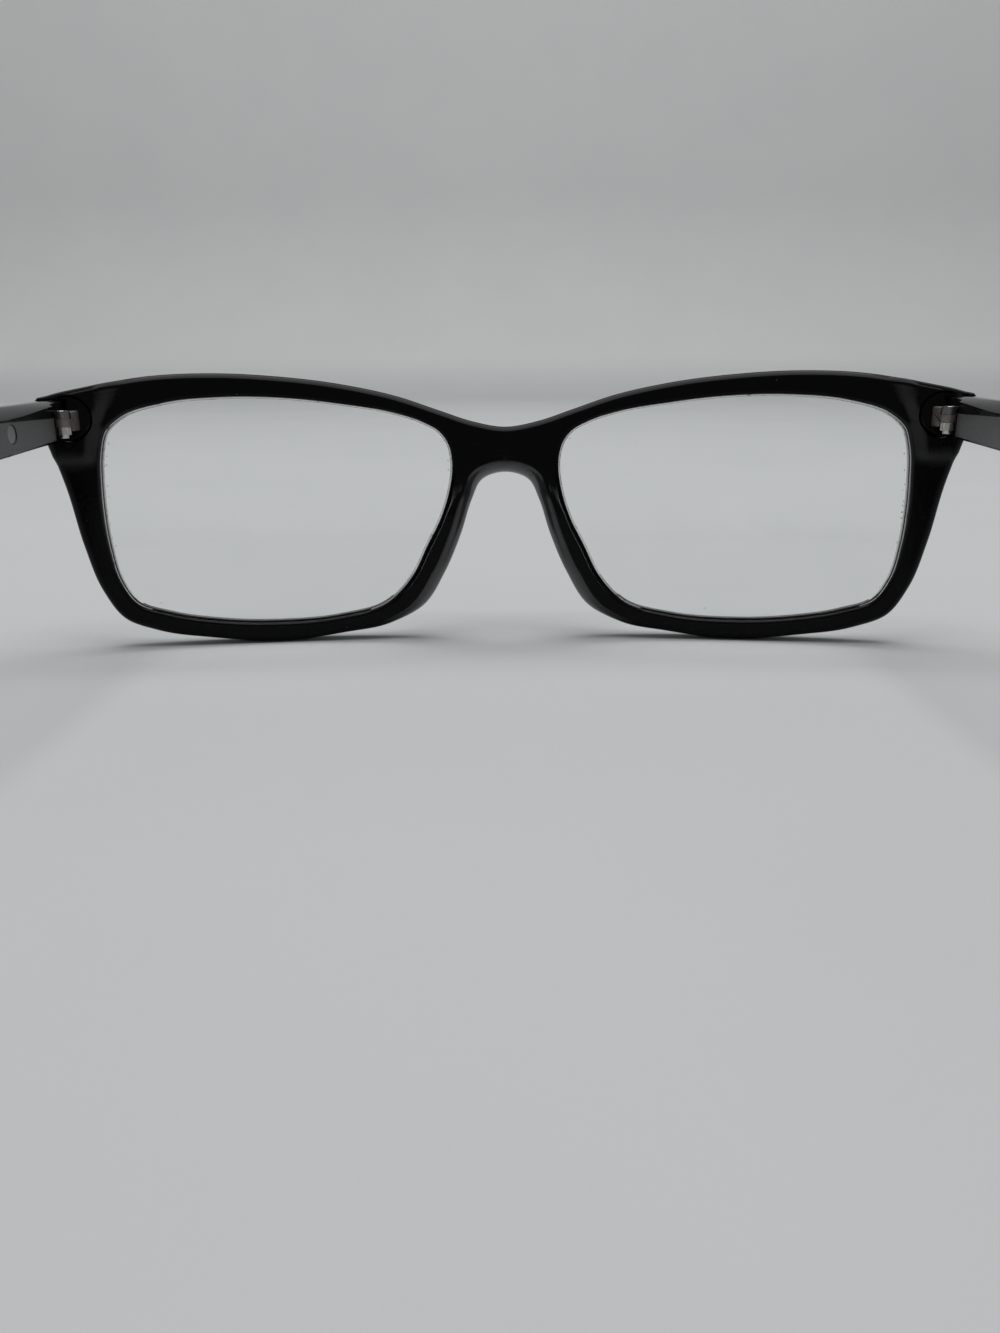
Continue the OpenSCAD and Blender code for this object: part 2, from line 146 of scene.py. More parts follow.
def drum(name, base, height, radius, axis="Z"):  # a cylinder that rises from its base, in mm
    clearSelection()
    turn = {"X": (0, pi / 2, 0), "Y": (-pi / 2, 0, 0), "Z": (0, 0, 0)}[axis]
    rise = Vector({"X": (1, 0, 0), "Y": (0, 1, 0), "Z": (0, 0, 1)}[axis]) * height / 2
    bpy.ops.mesh.primitive_cylinder_add(vertices=64, radius=radius * mm, depth=height * mm,
                                        location=(Vector(base) + rise) * mm, rotation=turn)
    obj = bpy.context.object
    obj.name = name
    place(obj)
    return obj


def skin(name, rings, closed=True):  # a grid laid over rings of points, in mm, and sewn up
    clearSelection()
    rows, columns = len(rings), len(rings[0])
    bpy.ops.mesh.primitive_grid_add(x_subdivisions=columns,
                                    y_subdivisions=rows if closed else rows - 1)
    obj = bpy.context.object
    obj.name = name
    for vertex in obj.data.vertices:
        row, column = divmod(vertex.index, columns + 1)
        vertex.co = Vector(rings[row % rows][column % columns]) * mm
    editAll(obj)
    bpy.ops.mesh.remove_doubles(threshold=1e-7)
    if not closed:
        bpy.ops.mesh.select_mode(type="VERT")
        bpy.ops.mesh.select_all(action="DESELECT")
        bpy.ops.mesh.select_non_manifold()
        bpy.ops.mesh.fill()
        bpy.ops.mesh.select_all(action="SELECT")
    bpy.ops.mesh.normals_make_consistent(inside=False)
    bpy.ops.object.mode_set(mode="OBJECT")
    return obj


def mirrored(obj, name):  # a copy for the wearer's right
    pick(obj)
    bpy.ops.object.duplicate()
    copy = bpy.context.object
    copy.name = copy.data.name = name
    flip(copy)
    return copy


def mix(a, b, t):
    return a + (b - a) * t


def ease(a, b, t):
    s = min(1, max(0, (t - a) / (b - a)))
    return s * s * (3 - 2 * s)


def hump(stops, t):  # up between the first two stops, down between the last two
    return ease(stops[0], stops[1], t) * (1 - ease(stops[2], stops[3], t))


def along(stops, t):  # reads a broken line of (place, value)
    for (a, low), (b, high) in zip(stops, stops[1:]):
        if t < b:
            return mix(low, high, max(0, (t - a) / (b - a)))
    return stops[-1][1]


def softMin(a, b, k):
    h = max(k - abs(a - b), 0) / k
    return min(a, b) - h * h * k / 4


def curveBetween(o, p, q, r, t):  # smooth curve from p to q, through points that lie unevenly
    def slope(a, b, c):
        before, after = (b - a).length, (c - b).length
        return ((b - a) / before * after + (c - b) / after * before) / (before + after)

    h = (q - p).length
    return (p * (2 * t ** 3 - 3 * t * t + 1) + slope(o, p, q) * h * (t ** 3 - 2 * t * t + t)
            + q * (3 * t * t - 2 * t ** 3) + slope(p, q, r) * h * (t ** 3 - t * t))


# from (0, depth) to (width, 0); a power of 2 makes it round and 1 a flat bevel
def roundCorner(width, depth, power, count):
    points = []
    for k in range(count):
        turn = pi / 2 * k / (count - 1)
        points.append((width * (1 - max(0, cos(turn)) ** (2 / power)),
                       depth * (1 - max(0, sin(turn)) ** (2 / power))))
    return points


# the moulded front, with its lenses

front = {
    # outer edge x and z, then edge of the opening x and z, from the top of the bridge over the
    # brow, down the side and back under the lens to the bridge
    "rows": [
        (0, 32.25, 8.6, 29.8), (5, 33.1, 9.9, 31.6), (10, 34.75, 12.2, 32.9),
        (16, 36.75, 16.8, 34.4), (24, 38.5, 24, 35.65), (34, 39.75, 33, 36.65),
        (43, 40.2, 42, 36.8), (52, 39.8, 50, 36), (60, 38.4, 55.9, 34), (65, 37.25, 58, 32),
        (66.9, 36.55, 58.6, 30.2), (67, 35.5, 58.95, 28.4), (65.4, 29.4, 59.2, 25),
        (64, 24, 59.25, 20), (62.4, 15.5, 58.85, 15), (60.45, 8.8, 57.75, 10),
        (57.75, 4.5, 55.8, 6.8), (53.1, 2.4, 51.3, 4.95), (45, 0.9, 44, 3.5), (35, 0, 35, 2.95),
        (25, 1.1, 25.5, 3.65), (18, 2.4, 18.6, 5.6), (12.85, 5.1, 14.6, 9.6),
        (9.4, 10.5, 12, 14.6), (6.75, 16.6, 9.9, 18.7), (5.05, 21.7, 8.5, 23),
        (3.75, 24.2, 8.05, 26), (0, 25.5, 8.1, 27.8)],
    "steps": 8, "closing": [0.4, 0.53, 0.67, 0.8],
    "rim": 3.8, "wrap": 320, "lean": 2.5,
    "edge": 0.9, "openEdge": 0.45, "cornerShare": 0.8,
    "boss": 1, "bossFoot": ((56.5, 37.4), (58.2, 33.4)), "bossRamp": 1.5, "bossEnd": (27.5, 28.7),
    "pad": 2.4, "padRows": (21, 23.4, 24.4, 26.4), "padBevel": 1.8, "padDepth": 2,
    "padLedge": ((24.2, 0.9), (24.45, 0.8), (24.72, 0.53), (25, 0.34), (26, 0.12)),
    "padSoft": 0.3, "bevel": 1.9, "bevelRows": (20.5, 22.5), "bevelPowers": (1.4, 1.3),
    "noseFlat": 0.3, "edgeSteps": 6, "bevelSteps": 8, "openSteps": 5,
    "grooveDepth": 0.7, "grooveWidth": 1.2, "grooveFlare": 0.15,
    "floorBack": 3.9, "floorStep": 0.15, "pocketRadius": 3.15, "pocketOut": 0.45, "pocketUp": 0.5,
    "pocketLip": 0.4, "pocketFoot": 0.3, "pocketSides": 96, "slotHeight": 5.9, "slotRise": 0.25,
    # where the points of a section lie on the rim's back
    "back": (0.05, 0.1, 0.16, 0.23, 0.3, 0.37, 0.44, 0.5, 0.55, 0.6, 0.64, 0.68, 0.71, 0.74, 0.77,
             0.8, 0.83, 0.86, 0.89, 0.92, 0.95, 0.98),
}
lens = {
    "radius": 130, "bowShare": 0.6, "thick": 2, "tongue": 0.8, "fit": 0.03, "tongueFit": 0.12,
    "chamfer": 0.12, "rings": [0, 0.15, 0.3, 0.45, 0.6, 0.75, 0.87, 0.95, 0.985],
    "grimeFrom": 0.985, "groundAngle": 30, "lowFacing": -0.6,
}

lift = (front["rim"] - front["edge"]) * sin(radians(front["lean"]))
leanSlope = tan(radians(front["lean"]))
# the drawn front's zero in y, from the hinge axis, which stands off the floor of its pocket
backAt = (hinge.y - front["floorBack"] - front["floorStep"]
          - hinge.x ** 2 / (2 * front["wrap"]) + (hinge.z - lift) * leanSlope)


def onFront(p, depth):  # a drawn point (x, z) at a depth in front of the rims' back
    normal = Vector((p.x / front["wrap"], -1, -leanSlope)).normalized()
    back = backAt + p.x ** 2 / (2 * front["wrap"]) - p.y * leanSlope
    return Vector((p.x, back, p.y + lift)) + normal * depth


outerRows = [Vector(r[:2]) for r in front["rows"]]
innerRows = [Vector(r[2:]) for r in front["rows"]]
lastRow = len(outerRows) - 1


def outerRow(i):
    if i < 0:
        return Vector((-outerRows[-i].x, outerRows[-i].y))
    if i > lastRow:
        j = 2 * lastRow - i
        return Vector((-outerRows[j].x, outerRows[j].y))
    return outerRows[i]


def outerAt(t):
    i, f = int(t), t - int(t)
    if t > lastRow:
        return mix(outerRows[lastRow], outerRows[0], f)
    return curveBetween(*(outerRow(i + k) for k in (-1, 0, 1, 2)), f)


def innerAt(t):
    i, f = int(t), t - int(t)
    return curveBetween(*(innerRows[(i + k) % (lastRow + 1)] for k in (-1, 0, 1, 2)), f)


places = ([i + k / front["steps"] for i in range(lastRow) for k in range(front["steps"])]
          + [lastRow] + [lastRow + f for f in front["closing"]])
edgeCount = lastRow * front["steps"] + 1
outer = [outerAt(t) for t in places]
inner = [innerAt(t) for t in places]


def squareTo(p, q):
    d = (q - p).normalized()
    return Vector((-d.y, d.x))


def outerNeighbours(k):
    before = outer[k - 1] if k else Vector((-outer[1].x, outer[1].y))
    after = outer[k + 1] if k < edgeCount - 1 else Vector((-outer[k - 1].x, outer[k - 1].y))
    return before, after


def outerInset(k):  # how far the outline can go in at a sharp outer corner
    before, after = outerNeighbours(k)
    turn = (outer[k] - before).angle(after - outer[k], 0)
    return min(front["edge"], front["cornerShare"] * (after - before).length / 2 / max(turn, 1e-6))


outerDir = [squareTo(*outerNeighbours(k)) if k < edgeCount else Vector((0, 0))
            for k in range(len(places))]
innerDir = [squareTo(inner[k - 1], inner[(k + 1) % len(inner)]) for k in range(len(inner))]

lensMiddle = Vector((sum(f(p.x for p in innerRows) for f in (min, max)) / 2,
                     sum(f(p.y for p in innerRows) for f in (min, max)) / 2))
lensTurn = atan(lensMiddle.x / front["wrap"])
lensSeat = onFront(lensMiddle, front["rim"] / 2)
lensWidth = max(p.x for p in innerRows) - min(p.x for p in innerRows)
lensBow = lensWidth ** 2 / (8 * lens["radius"]) * lens["bowShare"]
lensFrame = (Matrix.Translation(lensSeat) @ Matrix.Rotation(lensTurn, 4, "Z")
             @ Matrix.Rotation(radians(90 + front["lean"]), 4, "X"))
toLens = lensFrame.inverted()


def lensHeight(x, y):
    return lensBow - lens["radius"] + sqrt(lens["radius"] ** 2 - x * x - y * y)


def grooveDepthAt(k):
    q = toLens @ onFront(inner[k], front["rim"] / 2)
    return front["rim"] / 2 + lensHeight(q.x, q.y) - q.z


grooveAt = [grooveDepthAt(k) for k in range(len(places))]


def slant(low, high, value):  # a straight ramp with slightly rounded ends
    s = min(1, max(0, (value - low) / (high - low)))
    return mix(s, s * s * (3 - 2 * s), 0.5)


def bossAt(p, edge):  # how far the hinge boss stands behind the rim at a drawn point
    (topX, topZ), (footX, footZ) = front["bossFoot"]
    up = min(1.5, max(0, (p.y - footZ) / (topZ - footZ)))  # the foot's line goes on above its top
    foot = max(mix(footX, topX, up), edge - 0.1)
    end = slant(*front["bossEnd"], p.y)
    return front["boss"] * slant(foot, foot + front["bossRamp"], p.x) * end


def rimSection(k):  # from the outer edge's front, round the back, through the opening and home
    t = places[k]
    rim, r = front["rim"], front["openEdge"]
    padHump = hump(front["padRows"], t)
    pad = front["pad"] * padHump
    nose = ease(*front["bevelRows"], t) if t <= lastRow else 0
    edge = outerInset(k) if k < edgeCount else front["edge"]
    bevelWidth = mix(edge, mix(front["bevel"], front["padBevel"], padHump), nose)
    noseDepth = mix(rim - front["edge"] - front["noseFlat"], front["padDepth"], padHump)
    bevelDepth = mix(front["edge"], noseDepth, nose)
    power = mix(*front["bevelPowers"], nose)
    a = outer[k] - outerDir[k] * bevelWidth
    b = inner[k] + innerDir[k] * r

    def outerPoint(inset, depth):
        return onFront(outer[k] - outerDir[k] * inset, depth)

    def innerPoint(inset, depth):
        return onFront(inner[k] + innerDir[k] * inset, depth)

    def boss(p):
        return bossAt(p, b.x)

    def rise(p, u):  # a pad is level up to its ledge and falls from there to the opening
        ledge = along(front["padLedge"], t)
        return pad * max(0, softMin(1, (1 - u) / (1 - ledge), front["padSoft"])) + boss(p)

    opening = roundCorner(r, r, 2, front["openSteps"])
    points = [outerPoint(w, rim - d)
              for w, d in reversed(roundCorner(edge, front["edge"], 2, front["edgeSteps"]))]
    points += [outerPoint(0, mix(rim - front["edge"], bevelDepth - pad - boss(outer[k]), f))
               for f in (0.33, 0.67)]
    points += [outerPoint(w, d - pad - boss(outer[k] - outerDir[k] * w))
               for w, d in roundCorner(bevelWidth, bevelDepth, power, front["bevelSteps"])]
    points += [onFront(mix(a, b, u), -rise(mix(a, b, u), u)) for u in front["back"]]
    points += [innerPoint(d, w) for w, d in opening]
    near, far = grooveAt[k] - front["grooveWidth"] / 2, grooveAt[k] + front["grooveWidth"] / 2
    points += [innerPoint(0, near - front["grooveFlare"]), innerPoint(front["grooveDepth"], near),
               innerPoint(front["grooveDepth"], far), innerPoint(0, far + front["grooveFlare"])]
    points += [innerPoint(w, rim - d) for w, d in opening]
    frontEdge = outer[k] - outerDir[k] * edge
    points += [onFront(mix(b, frontEdge, f), rim) for f in (0.25, 0.5, 0.75)]
    return points


def bossSurface(x, z):  # y of the boss's back at a place of the finished front
    p = Vector((x, z - lift))
    for _ in range(4):
        q = onFront(p, -bossAt(p, 0))
        p += Vector((x - q.x, z - q.z))
    return q.y


def hingePocket():  # cutter for the round pocket with its soft lip, and for the temple's slot
    floor = hinge.y - front["floorBack"]
    x, z = hinge.x + front["pocketOut"], hinge.z + front["pocketUp"]
    radius, lip, foot = front["pocketRadius"], front["pocketLip"], front["pocketFoot"]
    turns = [2 * pi * i / front["pocketSides"] for i in range(front["pocketSides"])]
    over, clear = 0.03, 12  # just over the boss, and well clear of it

    def ring(reach, height):  # height above the floor, or below the boss's surface if negative
        points = []
        for a in turns:
            px, pz = x + reach * cos(a), z + reach * sin(a)
            y = floor + height if height >= 0 else max(floor + lip, bossSurface(px, pz) + height)
            points.append(Vector((px, y, pz)))
        return points

    rings = [ring(radius - foot * (1 - sin(radians(a))), foot * (1 - cos(radians(a))))
             for a in (0, 30, 60, 90)]
    rings += [ring(radius, -lip)]
    for a in (22, 45, 68, 90):
        reach = radius + lip * (1 - cos(radians(a)))
        rings.append([Vector((p.x, p.y + lip * sin(radians(a)), p.z)) for p in ring(reach, -lip)])
    rings[-1] = [Vector((p.x, p.y + over, p.z)) for p in rings[-1]]
    rings.append([Vector((p.x, floor + clear, p.z)) for p in rings[-1]])
    cutter = skin("pocketCutter", rings, closed=False)
    middle = hinge.z + front["slotRise"]
    slot = block("slotCutter", (x, floor, middle - front["slotHeight"] / 2),
                 (x + clear, floor + 1.25 * clear, middle + front["slotHeight"] / 2))
    carve(cutter, slot, "UNION")
    return cutter


def makeFront():
    obj = skin("front", [rimSection(k) for k in range(len(places))])
    # the faces on the plane of symmetry go, so that the two halves become one moulding
    pick(obj)
    bpy.ops.object.mode_set(mode="EDIT")
    bpy.ops.mesh.select_mode(type="FACE")
    bpy.ops.mesh.select_all(action="DESELECT")
    bpy.ops.object.mode_set(mode="OBJECT")
    for face in obj.data.polygons:
        face.select = all(abs(obj.data.vertices[i].co.x) < weld / 2 for i in face.vertices)
    bpy.ops.object.mode_set(mode="EDIT")
    bpy.ops.mesh.delete(type="FACE")
    bpy.ops.object.mode_set(mode="OBJECT")
    applyModifier(obj, "MIRROR", use_axis=(True, False, False), merge_threshold=weld)
    for side in (1, -1):
        cutter = hingePocket()
        if side < 0:
            flip(cutter)
        carve(obj, cutter)
    turnOut(obj, weld)
    smooth(obj)
    return obj


def makeLens():
    def section(k):
        def edgePoint(grow, dz):
            q = toLens @ onFront(inner[k] + innerDir[k] * grow, grooveAt[k])
            return Vector((q.x, q.y, lensHeight(q.x, q.y) + dz))

        half, tip = lens["thick"] / 2, lens["tongue"] / 2
        rim = edgePoint(-lens["fit"] - lens["chamfer"], 0)
        points = []
        for side in (-1, 1):
            face = [Vector((rim.x * f, rim.y * f, lensHeight(rim.x * f, rim.y * f) + side * half))
                    for f in lens["rings"] + [1]]
            edge = [edgePoint(-lens["fit"], side * (half - lens["chamfer"])),
                    edgePoint(-lens["fit"], side * tip),
                    edgePoint(front["grooveDepth"] - lens["tongueFit"], side * tip)]
            points += (face + edge) if side < 0 else list(reversed(face + edge))
        return [lensFrame @ p for p in points]

    obj = skin("leftLens", [section(k) for k in range(len(places))])
    smooth(obj, 30)
    return obj


frontPiece = makeFront()
print("front made,", len(frontPiece.data.polygons), "faces")
leftLens = makeLens()
rightLens = mirrored(leftLens, "rightLens")
smooth(rightLens, 30)
print("lenses made")


# temples

temple = {
    "length": 140, "bendAt": 89, "bendAngle": 45, "bendRadius": 30,
    "heights": (5.5, 6.4, 7), "thick": (4, 3.1, 2.8), "swell": 36,
    "innerOut": 0.75, "plateOut": 1.3, "crown": 0.12, "round": 0.6,
    "bevelWidth": 1.7, "bevelHeight": 1.5, "bevelEnd": 0.4, "bevelGrow": 20,
    "bevelPowers": (1.2, 2), "bevelSteps": 7, "leanGrow": 5,
    "panelTop": ((0, 0.45), (5, 0.6), (20, 1.3), (26, 1.5)), "panelCorner": 0.35,
    "buttGap": 0.05, "endChamfer": 0.15, "roomBack": 1.1, "roomRound": 0.45, "roomEdge": 0.3,
    "markRadius": 1.25, "markBack": 13.8, "markDrop": 0.7, "markDepth": 0.15, "markRound": 0.12,
}

plateX = hinge.x + temple["plateOut"]  # the face of the hinge's leaf
innerX = hinge.x + temple["innerOut"]
templeZ = hinge.z + front["slotRise"]
buttY = hinge.y - front["floorBack"] + temple["buttGap"]
pathLength = temple["length"] + hinge.y - buttY
straight = temple["bendAt"] + hinge.y - buttY
bendLength = temple["bendRadius"] * radians(temple["bendAngle"])
tipRadius = temple["heights"][2] / 2
markPlace = Vector((innerX, hinge.y + temple["markBack"], hinge.z - temple["markDrop"]))


def bendTurn(s):
    return min(temple["bendAngle"], max(0, (s - straight) / bendLength * temple["bendAngle"]))


def flatPath(s):  # along and down, before the temple's slope
    turn, rest = radians(bendTurn(s)), max(0, s - straight - bendLength)
    end = radians(temple["bendAngle"])
    return (min(s, straight) + temple["bendRadius"] * sin(turn) + rest * cos(end),
            temple["bendRadius"] * (1 - cos(turn)) + rest * sin(end))


tipMiddle = flatPath(pathLength - tipRadius)
# the slope at which the tip touches the table
slopeAngle = degrees(asin((templeZ - tipRadius) / hypot(*tipMiddle))
                     - atan2(tipMiddle[1], tipMiddle[0]))


def onPath(s):
    forth, down = flatPath(s)
    turn = radians(slopeAngle)
    return (buttY + forth * cos(turn) - down * sin(turn),
            templeZ - forth * sin(turn) - down * cos(turn))


def templeSection(s, inset=0):
    body = ease(0, temple["swell"], s)
    tail = ease(straight, pathLength - 2 * tipRadius, s)
    end = max(0, s - pathLength + tipRadius) / tipRadius
    taper = sqrt(max(0, 1 - end * end))

    def sized(name):  # at the hinge, in the body and at the tip
        return mix(mix(temple[name][0], temple[name][1], body), temple[name][2], tail)

    h, thick = sized("heights") * taper, sized("thick") * mix(1, taper, 0.5)
    skew = (1 - taper) * temple["thick"][2] / 4
    r = min(temple["round"], h / 3, thick / 3)
    wide = mix(temple["bevelWidth"], r, tail) * min(1, taper + 0.1)
    tall = mix(temple["bevelEnd"], temple["bevelHeight"], ease(0, temple["bevelGrow"], s))
    tall = mix(tall, r, tail) * taper
    low, top = -h / 2, h / 2
    power = mix(*temple["bevelPowers"], tail)
    c = mix(min(temple["panelCorner"], r), r, tail)
    panel = mix(along(temple["panelTop"], s) * taper, 0, tail)
    quarter = [pi * i / 8 for i in range(5)]
    profile = [(thick - r, low), (mix(thick - r, c, 0.5), low), (c, low)]
    profile += [(c - c * sin(a), low + c - c * cos(a)) for a in quarter[1:]]
    profile += [(0, mix(low + c, panel, 0.5)), (0, panel), (0, mix(panel, top - tall, 0.5))]
    profile += [(w, top - tall + (tall - d))
                for w, d in roundCorner(wide, tall, power, temple["bevelSteps"])]
    profile += [(mix(wide, thick - r, 0.5), top)]
    profile += [(thick - r + r * sin(a), top - r + r * cos(a)) for a in quarter]
    profile += [(thick + temple["crown"] * f, mix(top - r, low + r, g))
                for f, g in ((0.75, 0.25), (1, 0.5), (0.75, 0.75))]
    profile += [(thick - r + r * cos(a), low + r - r * sin(a)) for a in quarter[:-1]]
    y, z = onPath(s)
    lean = radians(slopeAngle * ease(0, temple["leanGrow"], s) + bendTurn(s))
    shrink = 1 - 2 * inset / h if h > inset else 1
    points = []
    for across, up in profile:
        across = thick / 2 + (across - thick / 2) * (1 - 2 * inset / thick)
        up *= shrink
        points.append(Vector((innerX + skew + across, y + up * sin(lean), z + up * cos(lean))))
    return points


def makeTemple(name, marked):
    stops = [temple["endChamfer"], 0.6, 1.2, 2, 3, 4, 5]
    stops += [straight * f
              for f in (0.08, 0.11, 0.15, 0.2, 0.26, 0.33, 0.41, 0.5, 0.6, 0.7, 0.8, 0.9)]
    stops += [straight + bendLength * k / 14 for k in range(15)]
    stops += [mix(straight + bendLength, pathLength - tipRadius, f) for f in (0.2, 0.4, 0.6, 0.8)]
    stops += [pathLength - tipRadius + tipRadius * sin(radians(a)) for a in range(0, 90, 9)]
    stops += [pathLength - 0.003]  # the tip closes just before its very end
    rings = [templeSection(0, temple["endChamfer"])] + [templeSection(s) for s in stops]
    obj = skin(name, rings, closed=False)
    # room for the knuckles, with a rounded end of the temple's inner face behind it
    back = hinge.y + temple["roomBack"]
    room = block("room", (innerX - past, buttY - past, 0), (plateX, back, 2 * hinge.z))
    bevelEdges(room, temple["roomRound"], 5, lambda a, b, turn: turn > 60
               and min(a.y, b.y) > back - 0.01 and min(a.x, b.x) > plateX - 0.01)
    carve(obj, room)
    bevelEdges(obj, temple["roomEdge"], 4, lambda a, b, turn: turn > 45
               and abs((a.y + b.y) / 2 - back) < 0.02
               and (a.x + b.x) / 2 < innerX + temple["bevelWidth"])
    if marked:  # a shallow dish left by the mould, with a fine sharp rim
        mark = drum("mark", (innerX - past, markPlace.y, markPlace.z), past + temple["markDepth"],
                    temple["markRadius"], "X")
        bevelEdges(mark, temple["markRound"], 4,
                   lambda a, b, turn: turn > 60 and min(a.x, b.x) > innerX)
        carve(obj, mark)
    smooth(obj)
    return obj


leftTemple = makeTemple("leftTemple", True)
plainTemple = makeTemple("plainTemple", False)
rightTemple = mirrored(plainTemple, "rightTemple")
bpy.data.objects.remove(plainTemple, do_unlink=True)
smooth(rightTemple)
print("temples made, slope", round(slopeAngle, 3))


# hinges

knuckle = {
    "radius": 1, "height": 1.05, "gap": 0.05, "bore": 0.65, "chamfer": 0.13,
    "leafThick": 1.45, "leafGap": 0.1, "leafSide": 0.05, "leafLow": 0.4, "leafHigh": 0.1,
    "leafRoot": 0.3, "leafRound": 0.25, "relief": 2,
    "plateThick": 0.9, "plateFront": 2.4, "plateBack": 8, "armWidth": 1.4,
    "screw": 0.6, "screwEnd": 0.5, "screwShort": 0.1, "screwRound": 0.12,
    "head": 0.8, "headHeight": 0.4, "headSink": 0.35, "headGap": 0.05, "headRound": 0.2,
    "slotWidth": 0.3, "slotDepth": 0.25, "slotTurn": 35,
    "shadeOut": 0.95, "gapShadeReach": 0.7,
}

barrelHeight = 3 * knuckle["height"] + 2 * knuckle["gap"]


def levelZ(level):  # the middle of the lowest, the middle or the top knuckle
    return hinge.z + level * (knuckle["height"] + knuckle["gap"])


def barrel(name, level):
    base = Vector((hinge.x, hinge.y, levelZ(level) - knuckle["height"] / 2))
    return drum(name, base, knuckle["height"], knuckle["radius"])


def boreOut(obj):
    carve(obj, drum("bore", (hinge.x, hinge.y, hinge.z - barrelHeight), 2 * barrelHeight,
                    knuckle["bore"]))
    editAll(obj)
    bpy.ops.mesh.remove_doubles(threshold=weld)
    bpy.ops.mesh.dissolve_limited(angle_limit=radians(1))
    bpy.ops.object.mode_set(mode="OBJECT")


def chamferAll(obj):
    applyModifier(obj, "BEVEL", width=knuckle["chamfer"] * mm, segments=2, limit_method="ANGLE",
                  angle_limit=radians(40))


def makeFrontHinge():
    leafX, half = hinge.x - knuckle["radius"] + knuckle["leafSide"], barrelHeight / 2
    root = hinge.y - front["floorBack"] - knuckle["leafRoot"]
    leaf = block("leftFrontHinge", (leafX, root, hinge.z - half + knuckle["leafLow"]),
                 (leafX + knuckle["leafThick"], hinge.y, hinge.z + half - knuckle["leafHigh"]))
    bevelEdges(leaf, knuckle["leafRound"], 4, lambda a, b, turn: turn > 60 and abs(a.y - b.y) > 1)
    for level in (-1, 1):  # room for the moving knuckles
        base = hinge.z + level * knuckle["height"] / 2 - (knuckle["relief"] if level < 0 else 0)
        carve(leaf, drum("relief", (hinge.x, hinge.y, base), knuckle["relief"],
                         knuckle["radius"] + knuckle["leafGap"]))
    carve(leaf, barrel("middle", 0), "UNION")
    boreOut(leaf)
    chamferAll(leaf)
    smooth(leaf)
    return leaf


def makeTempleHinge():
    half = barrelHeight / 2
    plate = block("leftTempleHinge", (plateX, hinge.y - knuckle["plateFront"], hinge.z - half),
                  (plateX + knuckle["plateThick"], hinge.y + knuckle["plateBack"], hinge.z + half))
    for level in (-1, 1):
        z = levelZ(level)
        arm = block("arm", (hinge.x, hinge.y - knuckle["armWidth"] / 2, z - knuckle["height"] / 2),
                    (plateX + knuckle["plateThick"] / 2, hinge.y + knuckle["armWidth"] / 2,
                     z + knuckle["height"] / 2))
        carve(plate, arm, "UNION")
        carve(plate, barrel("outer", level), "UNION")
    boreOut(plate)
    sinkZ = hinge.z + half - knuckle["headSink"]  # the top knuckle is sunk for the screw's head
    carve(plate, drum("sink", (hinge.x, hinge.y, sinkZ), 1, knuckle["head"] + knuckle["headGap"]))
    chamferAll(plate)
    smooth(plate)
    return plate


def makeScrew():
    bottom, top = hinge.z - barrelHeight / 2, hinge.z + barrelHeight / 2
    shank = drum("leftScrew", (hinge.x, hinge.y, bottom - knuckle["screwEnd"]),
                 barrelHeight + knuckle["screwEnd"] - knuckle["screwShort"], knuckle["screw"])
    bevelEdges(shank, knuckle["screwRound"], 2,
               lambda a, b, turn: turn > 60 and max(a.z, b.z) < bottom)
    seat = top - knuckle["headSink"]
    z = seat + knuckle["headHeight"]
    head = drum("head", (hinge.x, hinge.y, seat), knuckle["headHeight"], knuckle["head"])
    bevelEdges(head, knuckle["headRound"], 4,
               lambda a, b, turn: turn > 60 and min(a.z, b.z) > z - 0.1)
    carve(shank, head, "UNION")
    slotSide = knuckle["slotWidth"] / 2
    slot = block("slot", (hinge.x - past, hinge.y - slotSide, z - knuckle["slotDepth"]),
                 (hinge.x + past, hinge.y + slotSide, z + 1))
    pick(slot)
    bpy.ops.transform.rotate(value=radians(knuckle["slotTurn"]), orient_axis="Z",
                             center_override=(hinge.x * mm, hinge.y * mm, z * mm))
    place(slot)
    carve(shank, slot)
    smooth(shank)
    return shank


leftFrontHinge, leftTempleHinge, leftScrew = makeFrontHinge(), makeTempleHinge(), makeScrew()
rightFrontHinge = mirrored(leftFrontHinge, "rightFrontHinge")
rightTempleHinge = mirrored(leftTempleHinge, "rightTempleHinge")
rightScrew = mirrored(leftScrew, "rightScrew")
for obj in (rightFrontHinge, rightTempleHinge, rightScrew):
    smooth(obj)
print("hinges made")


# materials

def newMaterial(name):
    material = bpy.data.materials.new(name)
    material.use_nodes = True
    nodes = material.node_tree.nodes
    return material, nodes, nodes["Principled BSDF"]


def setUp(node, **values):  # settings go to the node, other names to its sockets
    for name, value in values.items():
        if hasattr(node, name):
            setattr(node, name, value)
        else:
            node.inputs[name.replace("_", " ")].default_value = value
    return node


def addNode(nodes, kind, **values):
    return setUp(nodes.new(kind), **values)


def addGroup(nodes, group, **values):
    return addNode(nodes, "ShaderNodeGroup", node_tree=group, **values)


def addMath(nodes, operation, *values, **settings):  # the values go to the inputs after the first
    node = addNode(nodes, "ShaderNodeMath", operation=operation, **settings)
    for k, value in enumerate(values, 1):
        node.inputs[k].default_value = value
    return node


def addMix(nodes, first, second, **settings):  # of two colours; one that is linked in is None
    node = addNode(nodes, "ShaderNodeMix", data_type="RGBA", **settings)
    for k, color in ((6, first), (7, second)):
        if color:
            node.inputs[k].default_value = (*color, 1)
    return node


def wire(*rows):  # each from a node and its output to another node and its input
    for giver, output, taker, entry in rows:
        giver.id_data.links.new(giver.outputs[output], taker.inputs[entry])


